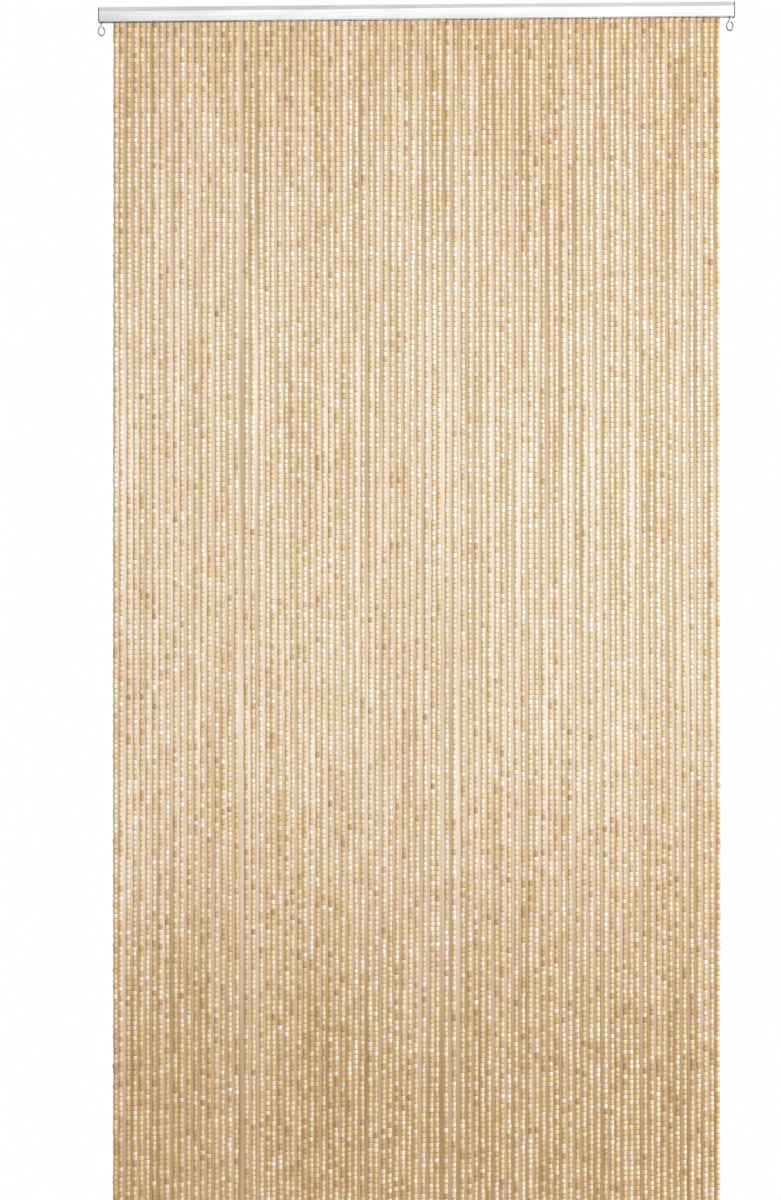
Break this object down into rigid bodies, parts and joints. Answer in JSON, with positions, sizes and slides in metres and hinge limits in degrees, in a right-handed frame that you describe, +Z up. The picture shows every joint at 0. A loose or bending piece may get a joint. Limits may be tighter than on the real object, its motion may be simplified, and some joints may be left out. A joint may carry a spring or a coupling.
{
  "type": "bead door curtain on an aluminium rail",
  "caption": "Door curtain of small wooden beads threaded on straight strands that hang side by side from a slotted aluminium rail with a wire eye near each end.",
  "frame": {"origin": "middle of the rail's flat back face", "axes": "+X to the right along the rail as seen from the front, +Z up, the front faces -Y and the rail's back face +Y"},
  "size_m": [0.901, 0.014, 2],
  "materials": {
    "rail_aluminium": "satin extruded aluminium with faint lengthwise streaks",
    "bead_wood": "turned pale wood, lightly varnished, each bead its own tone from cream to honey",
    "cap_plastic": "dark grey moulded plastic",
    "strand_cord": "natural twisted cotton thread, seen only in the rail's slot and at the knots",
    "eye_wire": "drawn steel wire, zinc plated"
  },
  "bodies": {
    "root": {"rail": "rail_aluminium", "strands": "bead_wood", "end_cap_left": "cap_plastic", "end_cap_right": "cap_plastic", "eye_left": "eye_wire", "eye_right": "eye_wire"}
  },
  "joints": []
}
